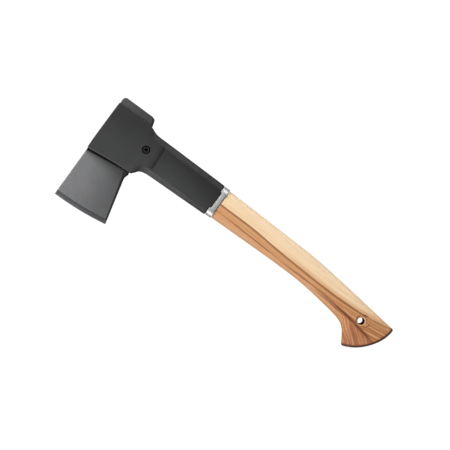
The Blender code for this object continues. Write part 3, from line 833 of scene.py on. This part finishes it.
def makeCoatedSteel():
    c = coatedSteel
    material, shader = newMaterial("coated_steel")
    place = toolPlace()
    x, y, z = splitUp(place)
    out = useGrit(place, c["grain"], c["patch"])
    colour = blendColour(out["Patches"], c["colour"], c["patchColour"])
    # painted shade: the blade darkens from the toe toward the heel, broken up by a cloud
    cloud = noise(place, c["cloudSize"], 3)
    heelShade = scaled(minus(cloud, 0.5), 0.5, band(x, *c["toeToHeel"]))
    heelShade = times(heelShade, band(y, *c["edgeFade"]))
    colour = blendColour(heelShade, colour, c["heelShadeColour"])
    # painted shade: the poll's own darker tone darkens further toward its far side
    pollShadeTone = tuple(v * c["pollFar"] for v in c["pollColour"])
    pollTone = blendColour(band(x, *c["pollFade"]), c["pollColour"], pollShadeTone)
    colour = blendColour(band(y, *c["pollStart"]), colour, pollTone)
    fleck = band(noise(place, c["fleckScale"], 1), 0.62, 0.75)
    colour = blendColour(times(fleck, c["fleckShare"]), colour, c["fleckColour"])

    # painted shadow under the shroud's lip, a softer painted shade fading out below it, and a painted dark rim along
    # the heel's edge
    heelX, heelY = shroud["heel"]
    heelShare = sums("DIVIDE", x, heelX)

    def toeToHeel(toe, heel):
        return scaled(heelShare, heel - toe, toe)

    under = minus(toeToHeel(shroud["bitEdge"], heelY), y)
    past = minus(under, toeToHeel(*c["lipShadowWidth"]))
    soft = sums("DIVIDE", past, toeToHeel(*c["lipShadowFade"]))
    onBlade = sums("LESS_THAN", y, c["bladeTop"])
    heelLine = scaled(y, c["heelSlope"], c["heelStart"])
    rim = times(band(minus(heelLine, x), *c["heelRimShadeWidth"]), onBlade)
    softLipShadow = times(sums("POWER", band(soft, 1, 0, False), c["lipShadowFadePower"]), c["lipShadowFadeShare"])
    lipShadow = times(band(past, 0.0004, -0.0003), onBlade)
    for share in (times(rim, c["rimShare"]), times(softLipShadow, onBlade), lipShadow):
        colour = blendColour(share, colour, c["paintedShadeColour"])
    roughness = scaled(lipShadow, 0.3, between(out["Patches"], *c["roughness"]))
    finish(shader, c, colour, roughness, out["Height"], scaled(lipShadow, 1 - c["metallic"], c["metallic"]))
    return material


groundSteel = {"colour": (0.118, 0.118, 0.123), "heelShadeColour": (0.080, 0.080, 0.084), "roughness": (0.34, 0.46),
               "heelFade": (0.005, 0.065), "lines": 1800, "lineTone": (0.82, 1.18), "grain": 0.0006, "patch": 0.012,
               "patchShare": 0.25, "metallic": 0.85, "bump": (0.2, 0.00003)}


def makeGroundSteel():
    c = groundSteel
    material, shader = newMaterial("ground_steel")
    place = toolPlace()
    x, y, z = splitUp(place)
    lines = noise(place, (c["lines"], c["lines"] * 0.03, c["lines"] * 0.03), 2)
    out = useGrit(place, c["grain"], c["patch"])
    # painted shade: the bevel darkens from the toe toward the heel; patches also blend toward that darker colour
    colour = blendColour(band(x, *c["heelFade"]), c["colour"], c["heelShadeColour"])
    colour = blendColour(1.0, colour, band(lines, 0.25, 0.75, False, *c["lineTone"]), "MULTIPLY")
    colour = blendColour(times(out["Patches"], c["patchShare"]), colour, c["heelShadeColour"])
    finish(shader, c, colour, band(lines, 0.3, 0.7, False, *c["roughness"]), lines, c["metallic"])
    return material


composite = {"colour": (0.0180, 0.0186, 0.0186), "patchColour": (0.0220, 0.0224, 0.0224), "roughness": (0.50, 0.62),
             "specular": 0.32, "bump": (0.35, 0.00008), "grain": 0.00045, "patch": 0.022,
             # painted light and shade from the back to the belly, over the whole length and stronger on the collar;
             # also darker toward the ring and on the lower band
             "cheekPaintedLight": (0.75, 1.35), "collarPaintedLight": (0.50, 1.90), "collarStart": (0.070, 0.100),
             "toneReach": 0.014, "ringTone": 0.70, "ringFade": (0.100, 0.160), "bandTone": 0.72,
             "lipHighlightTone": (0.070, 0.070, 0.070), "lipWidth": 0.0013, "lipRun": 0.030, "lipShare": 0.75,
             "fibres": (500, 2600, 2600), "fibreColour": (0.055, 0.055, 0.055), "fibreShare": 0.2,
             "creaseShadeColour": (0.004, 0.004, 0.004), "creaseReach": (0.0019, 0.0003), "creaseShare": 0.8,
             # black inlay, and a plain line in it: its place, half width and edge in shares of the radius
             "markColour": (0.0030, 0.0030, 0.0030), "markLine": 0.58, "markLineHalf": (0.12, 0.08)}


def makeComposite():
    c, s = composite, shroud
    material, shader = newMaterial("dark_composite")
    place = toolPlace()
    x, y, z = splitUp(place)
    out = useGrit(place, c["grain"], c["patch"])
    fibres = band(noise(place, c["fibres"], 1), 0.66, 0.76)
    colour = blendColour(out["Patches"], c["colour"], c["patchColour"])
    onCollar = band(x, *c["collarStart"])
    # painted light: the shroud is lighter toward the belly and darker toward the back
    low, high = (between(onCollar, a, b) for a, b in zip(c["cheekPaintedLight"], c["collarPaintedLight"]))
    tone = band(y, c["toneReach"], -c["toneReach"], False, low, high)
    tone = times(tone, band(x, *c["ringFade"], True, 1.0, c["ringTone"]))
    onLowerBand = times(onCollar, band(y, s["panelBottom"] + 0.001, s["panelBottom"] - 0.002))
    tone = times(tone, between(onLowerBand, 1.0, c["bandTone"]))
    colour = blendColour(1.0, colour, tone, "MULTIPLY")

    # painted highlight along the lip over the blade
    heelX, heelY = s["heel"]
    fromLip = minus(y, scaled(x, (heelY - s["bitEdge"]) / heelX, s["bitEdge"]))
    lipHighlight = times(band(fromLip, c["lipWidth"] * 1.6, c["lipWidth"] * 0.6),
                   band(x, heelX, heelX - c["lipRun"], True, 0.0, c["lipShare"]))
    colour = blendColour(lipHighlight, colour, c["lipHighlightTone"])
    colour = blendColour(times(fibres, c["fibreShare"]), colour, c["fibreColour"])

    # painted shade darkens the crease, and the sunk mark is inlaid in black
    creaseX = minus(x, scaled(y, s["creaseLean"], s["crease"]))
    fromCrease = apart(creaseX, s["creaseWidth"] * 0.75)
    paintedCreaseShade = times(band(fromCrease, *c["creaseReach"]),
                     band(apart(y, 0), s["panelTop"], s["panelTop"] - 0.002))
    colour = blendColour(times(paintedCreaseShade, c["creaseShare"]), colour, c["creaseShadeColour"])
    radius = s["markRadius"]
    fromMark = reachFrom(x, y, s["markPlace"])
    inMark = band(fromMark, radius + 0.0003, radius - 0.0001)
    inlay = band(apart(fromMark, radius * c["markLine"]), *(radius * v for v in c["markLineHalf"]))
    colour = blendColour(inMark, colour, blendColour(inlay, c["markColour"], c["colour"]))
    finish(shader, c, colour, between(out["Patches"], *c["roughness"]), out["Height"],
           minus(inMark, times(inMark, inlay)))
    return material


aluminium = {"colour": (0.49, 0.488, 0.478), "lineTone": 0.9, "roughness": (0.42, 0.58), "lines": 2200,
             "grain": 0.0004, "patch": 0.008, "bump": (0.15, 0.00004)}


def makeAluminium():
    c = aluminium
    material, shader = newMaterial("satin_aluminium")
    place = toolPlace()
    lines = noise(place, (c["lines"], c["lines"] * 0.04, c["lines"] * 0.04), 2)
    out = useGrit(place, c["grain"], c["patch"])
    lineColour = tuple(v * c["lineTone"] for v in c["colour"])
    finish(shader, c, blendColour(lines, lineColour, c["colour"]), band(lines, 0.3, 0.7, False, *c["roughness"]),
           scaled(out["Height"], 0.4, lines), 1.0)
    return material


adhesive = {"colour": (0.62, 0.52, 0.33), "deep": (0.50, 0.40, 0.24), "roughness": (0.35, 0.55),
            "grain": 0.0015, "patch": 0.006, "bump": (0.3, 0.0002)}


def makeAdhesive():
    c = adhesive
    material, shader = newMaterial("cured_adhesive")
    out = useGrit(toolPlace(), c["grain"], c["patch"])
    finish(shader, c, blendColour(out["Patches"], c["colour"], c["deep"]),
           between(out["Patches"], *c["roughness"]), out["Height"])
    return material


# hickory: pale sapwood along the back, brown heartwood under a dark line, and a second dark streak
# shares run along the tool, from the top of the head to the butt
hickory = {
    "sap": (0.875, 0.660, 0.430), "sapWarm": (0.830, 0.585, 0.350), "sapButt": (0.800, 0.470, 0.235),
    "sapBlush": (0.640, 0.345, 0.160), "blushReach": 7.0, "blushFade": (0.58, 0.70, True, 0.25, 0.85),
    "heart": (0.560, 0.272, 0.112), "heartPale": (0.640, 0.340, 0.155), "belly": (0.560, 0.285, 0.135),
    "line": (0.270, 0.105, 0.038), "streak": (0.260, 0.082, 0.030), "streakButt": (0.150, 0.036, 0.010),
    "knob": (0.600, 0.268, 0.104), "knobRed": (0.375, 0.135, 0.052), "knobPale": (0.720, 0.385, 0.175),
    "hookRed": (0.84, 0.74, 0.82), "pore": (0.22, 0.10, 0.045),
    "endGrainAndShade": (0.060, 0.023, 0.011), "endPale": 1.9, "bore": (0.020, 0.010, 0.006),
    # share, y: the edge of the heartwood, and the second streak
    "heartEdge": ((0.40, 0.0013), (0.52, 0.0006), (0.60, -0.0020), (0.70, -0.0043), (0.80, -0.0049),
                  (0.88, -0.0040), (0.93, -0.0026), (1.00, 0.0018)),
    "secondStreak": ((0.40, -0.0086), (0.52, -0.0099), (0.66, -0.0118), (0.78, -0.0130), (0.85, -0.0160),
                     (0.92, -0.0207), (1.00, -0.0276)),
    "curveLow": -0.035, "curveHigh": 0.010, "ringCurve": 0.0022, "ringRadius": 0.06,
    "wander": 0.0022, "ripple": 0.0006, "knobStart": (0.72, 0.88), "hookStart": (0.80, 0.90),
    "hookGrain": math.radians(42), "hookWander": 0.010, "swell": 2.2, "swellReach": (0.018, 0.004),
    "buttStart": (0.84, 0.90), "buttEdge": (0.0044, 0.0022),
    # how stretched each pattern is along the grain, across it and in depth; detail, roughness
    "growth": (6, 0.62, 18, 3, 0.6), "hookGrowth": (14, 0.42, 18, 3, 0.6),
    "fibre": (26, 2.6, 60, 4, 0.65), "hookFibre": (40, 1.9, 60, 4, 0.65),
    # short dark flecks: place, half length and half width, lean
    "flecks": ((0.3945, -0.0035, 0.0042, 0.0009, 0.10), (0.4040, -0.0120, 0.0018, 0.0011, 1.2)),
    # round the hole: outer and inner edge of the paler flare, and a thin dark line
    "flareEdges": ((0.0062, 0.0056), (0.0042, 0.0048)), "flareShare": 0.55,
    "rimReach": 0.0066, "rimHalf": (0.0007, 0.0001), "rimShare": 0.5,
    "roughness": (0.42, 0.58), "specular": 0.30, "bump": (0.25, 0.00015),
}


def lineAlong(share, points):   # a y that changes smoothly with the place along the tool
    low, high = hickory["curveLow"], hickory["curveHigh"]
    node = put("ShaderNodeFloatCurve")
    curve = node.mapping.curves[0]
    spots = [(a, (b - low) / (high - low)) for a, b in points]
    curve.points[0].location = spots[0]
    curve.points[1].location = spots[-1]
    for spot in spots[1:-1]:
        curve.points.new(*spot)
    node.mapping.extend = "HORIZONTAL"
    node.mapping.update()
    join(share, node.inputs["Value"])
    return scaled(node.outputs[0], high - low, low)


def makeHickory():
    c, h = hickory, handle
    material, shader = newMaterial("oiled_hickory")
    place = toolPlace()
    x, y, z = splitUp(place)
    share = sums("DIVIDE", x, buttX)
    wander = minus(noise(place, (9, 55, 55), 3), 0.5)
    ripple = minus(noise(place, (60, 700, 700), 2), 0.5)
    across = times(times(z, z), 1 / (2 * c["ringRadius"]))
    depth = plus(y, minus(across, c["ringCurve"] * 0.6))
    depth = scaled(wander, c["wander"], depth)
    depth = scaled(ripple, c["ripple"], depth)
    fromEdge = times(minus(depth, lineAlong(share, c["heartEdge"])), 1000)      # in mm
    fromStreak = times(minus(depth, lineAlong(share, c["secondStreak"])), 1000)
    toKnob = band(share, *c["knobStart"])
    fromHole = reachFrom(x, y, h["hole"])
    fromArc = minus(h["arcRadius"], reachFrom(x, y, h["arcMiddle"]))

    # the grain swells round the hole, and below the streak it turns down into the hook
    swell = times(band(fromHole, *c["swellReach"]), c["swell"])
    sideways = sums("DIVIDE", minus(y, h["hole"][1]), sums("MAXIMUM", fromHole, c["swellReach"][1]))
    grainLine = scaled(sideways, times(swell, -1), fromEdge)
    inHook = times(band(share, *c["hookStart"]), band(fromStreak, 0.5, -3.5))
    turnX, turnY = math.cos(c["hookGrain"]), math.sin(c["hookGrain"])
    bent = scaled(wander, c["hookWander"], times(x, turnY))
    hookLine = times(scaled(y, turnX, bent), 1000)
    hookRun = minus(times(x, turnX), times(y, turnY))

    def figure(run, line, runScale, lineScale, depthScale, detail, roughness):
        spot = put("ShaderNodeCombineXYZ")
        for value, scale, target in ((run, runScale, 0), (line, lineScale, 1), (z, depthScale, 2)):
            join(times(value, scale), spot.inputs[target])
        return noise(spot.outputs[0], 1.0, detail, roughness)

    growth = between(inHook, figure(x, grainLine, *c["growth"]), figure(hookRun, hookLine, *c["hookGrowth"]))
    fibre = between(inHook, figure(x, grainLine, *c["fibre"]), figure(hookRun, hookLine, *c["hookFibre"]))

    sap = blendColour(band(growth, 0.42, 0.66), c["sap"], c["sapWarm"])
    sap = blendColour(band(share, 0.87, 0.985), sap, c["sapButt"])
    blush = times(band(fromEdge, c["blushReach"], 0.0), band(share, *c["blushFade"]))
    sap = blendColour(blush, sap, c["sapBlush"])
    heart = blendColour(band(growth, 0.36, 0.64), c["heart"], c["heartPale"])
    heart = blendColour(times(band(fromStreak, -1.0, -3.0), 0.8), heart, c["belly"])
    knobTone = blendColour(band(growth, 0.40, 0.54), c["knobRed"], c["knob"])
    knobTone = blendColour(band(growth, 0.54, 0.66), knobTone, c["knobPale"])
    knobTone = blendColour(times(inHook, band(x, 0.380, 0.394)), knobTone, c["hookRed"], "MULTIPLY")
    heart = blendColour(times(toKnob, 0.85), heart, knobTone)
    isHeart = band(fromEdge, 0.45, -0.45)
    colour = blendColour(isHeart, sap, heart)

    # the dark line at the edge of the heartwood fades downward
    lineAt = plus(fromEdge, 0.7)
    edgeLine = times(band(lineAt, 1.2, 0.2), band(lineAt, -3.2, 0.2))
    colour = blendColour(times(edgeLine, band(share, 0.88, 0.93, True, 0.95, 0.35)), colour, c["line"])

    # the second streak is broken along its length, with a short one beside it
    broken = noise(place, (32, 260, 260), 3)
    streakWidth = times(band(share, 0.6, 0.86, False, 1.2, 2.9), band(broken, 0.35, 0.65, True, 0.65, 1.15))
    fromLine = apart(fromStreak, 0)
    streakLine = band(sums("DIVIDE", fromLine, streakWidth), 1.0, 0.15)
    beside = band(apart(fromStreak, -3.0), 1.3, 0.2)
    beside = times(beside, band(apart(share, 0.80), 0.07, 0.03))
    streakLine = sums("MAXIMUM", streakLine, times(beside, 0.8))
    streakDark = blendColour(toKnob, c["streak"], c["streakButt"])
    halo = times(band(fromLine, 5.0, 1.0), between(toKnob, 0.12, 0.38))
    colour = blendColour(times(halo, isHeart), colour, c["knobRed"])
    strength = times(band(broken, 0.32, 0.56, True, 0.45, 0.88), band(share, 0.99, 0.95))
    colour = blendColour(times(streakLine, strength), colour, streakDark)
    for fleckX, fleckY, reachX, reachY, lean in c["flecks"]:
        run = minus(x, fleckX)
        rise = minus(minus(depth, fleckY), times(run, lean))
        run = sums("POWER", sums("DIVIDE", run, reachX), 2)
        rise = sums("POWER", sums("DIVIDE", rise, reachY), 2)
        colour = blendColour(times(band(plus(run, rise), 1.5, 0.3), 0.9), colour, c["streakButt"])

    # fibres and pores
    tone = band(fibre, 0.25, 0.75, False, between(times(toKnob, isHeart), 0.88, 0.70), 1.12)
    colour = blendColour(1.0, colour, tone, "MULTIPLY")
    pores = times(band(noise(place, (160, 3200, 3200), 1), 0.60, 0.72), scaled(isHeart, 0.3, 0.14))
    colour = blendColour(pores, colour, c["pore"])

    # the flare round the hole is paler inside a thin dark line, the bore is dark, and the butt's band is dark end
    # grain that is also painted shade where the rim turns away from the light
    outer, inner = c["flareEdges"]
    flareTone = times(band(fromHole, *outer), band(fromHole, *inner))
    colour = blendColour(times(flareTone, c["flareShare"]), colour, c["knobPale"])
    rim = band(apart(fromHole, c["rimReach"]), *c["rimHalf"])
    colour = blendColour(times(rim, c["rimShare"]), colour, c["streakButt"])
    colour = blendColour(band(fromHole, h["holeRadius"] + 0.0006, h["holeRadius"] + 0.0002), colour, c["bore"])
    rays = noise(place, (900, 900, 900), 2)
    buttEndAndShadeTone = blendColour(band(rays, 0.4, 0.6), c["endGrainAndShade"], tuple(v * c["endPale"] for v in c["endGrainAndShade"]))
    buttEndAndShade = times(band(fromArc, *c["buttEdge"]), band(share, *c["buttStart"]))
    colour = blendColour(buttEndAndShade, colour, buttEndAndShadeTone)
    finish(shader, c, colour, band(fibre, 0.2, 0.8, False, *c["roughness"]), minus(fibre, times(pores, 1.5)))
    return material


def coat(piece, material):
    piece.data.materials.clear()
    piece.data.materials.append(material)


print("materials")
coat(steelPiece, makeCoatedSteel())
steelPiece.data.materials.append(makeGroundSteel())
for face in steelPiece.data.polygons:   # the ground bevel along the edge
    spot = face.center - toolOrigin
    heelShare = (spot.x - steelHead["toe"][0]) / (steelHead["heel"][0] - steelHead["toe"][0])
    line = mix(steelHead["bevelRow"][0], steelHead["bevelRow"][2], heelShare)
    if spot.y < line - steelHead["bevelMargin"]:
        face.material_index = 1
coat(shroudPiece, makeComposite())
coat(ringPiece, makeAluminium())
coat(handlePiece, makeHickory())
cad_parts["adhesive_sleeve"].material_slots[0].material = makeAdhesive()


# floor, lights and camera
studio = {
    "floorSize": 6.0, "floorShown": 1.06, "floorReturned": 0.25, "glowShare": 0.97,
    "floorDrop": 0.0002, "floorRough": 0.9,
    "worldShown": 1.06, "worldLight": 0.01,
    "cameraTurn": math.radians(36.5), "cameraPlace": (-0.0251, 0.0198), "cameraHeight": 1.37, "lens": 89.5,
    # place from the middle of the view, width, height, power
    "lights": (("pollSideStrip", (0, 1.6, 0.5), 1.6, 0.5, 14.5),
               ("pollSideSoftbox", (0, 1.3, 1.15), 1.2, 0.7, 6.5),
               ("bladeSideStrip", (0, -1.6, 0.5), 1.6, 0.5, 21.7),
               ("bladeSideSoftbox", (0, -1.3, 1.15), 1.2, 0.7, 4.8),
               ("headSoftbox", (-1.3, 0, 1.15), 1.0, 0.7, 20.8),
               ("overheadSoftbox", (0, 0, 2.4), 1.2, 1.2, 7.7)),
}


def makeFloor():
    leaveEdit()
    bpy.ops.mesh.primitive_grid_add(x_subdivisions=4, y_subdivisions=4, size=studio["floorSize"],
                                    location=(0, 0, -studio["floorDrop"]))
    floor = nameNew("studio_floor")
    material, shader = newMaterial("pale_paper")
    shader.inputs["Base Color"].default_value = (studio["floorReturned"],) * 3 + (1,)
    shader.inputs["Roughness"].default_value = studio["floorRough"]
    glow = put("ShaderNodeEmission")
    glow.inputs["Strength"].default_value = studio["floorShown"]
    seen = put("ShaderNodeLightPath")
    choose = put("ShaderNodeMixShader")
    join(times(seen.outputs["Is Camera Ray"], studio["glowShare"]), choose.inputs[0])
    join(shader.outputs[0], choose.inputs[1])
    join(glow.outputs[0], choose.inputs[2])
    join(choose.outputs[0], tree.nodes["Material Output"].inputs["Surface"])
    coat(floor, material)


def makeWorld():
    world = bpy.data.worlds.new("pale_room")
    bpy.context.scene.world = world
    startTree(world)
    back = tree.nodes["Background"]
    back.inputs["Color"].default_value = (1, 1, 1, 1)
    seen = put("ShaderNodeLightPath")
    join(between(seen.outputs["Is Camera Ray"], studio["worldLight"], studio["worldShown"]),
         back.inputs["Strength"])


def makeLights():
    middle = Vector((*studio["cameraPlace"], middleZ))
    for name, place, width, height, power in studio["lights"]:
        lamp = bpy.data.lights.new(name, "AREA")
        lamp.shape = "RECTANGLE"
        lamp.size = width
        lamp.size_y = height
        lamp.energy = power
        holder = bpy.data.objects.new(name, lamp)
        holder.location = middle + Vector(place)
        holder.rotation_euler = (middle - holder.location).to_track_quat("-Z", "Y").to_euler()
        bpy.context.collection.objects.link(holder)


def makeCamera():
    lens = bpy.data.cameras.new("camera")
    lens.lens = studio["lens"]
    lens.sensor_width = 36
    camera = bpy.data.objects.new("camera", lens)
    camera.location = (*studio["cameraPlace"], middleZ + studio["cameraHeight"])
    camera.rotation_euler = (0, 0, studio["cameraTurn"])
    bpy.context.collection.objects.link(camera)
    bpy.context.scene.camera = camera


print("floor, lights and camera")
makeFloor()
makeWorld()
makeLights()
makeCamera()
bpy.context.scene.view_settings.view_transform = "Standard"
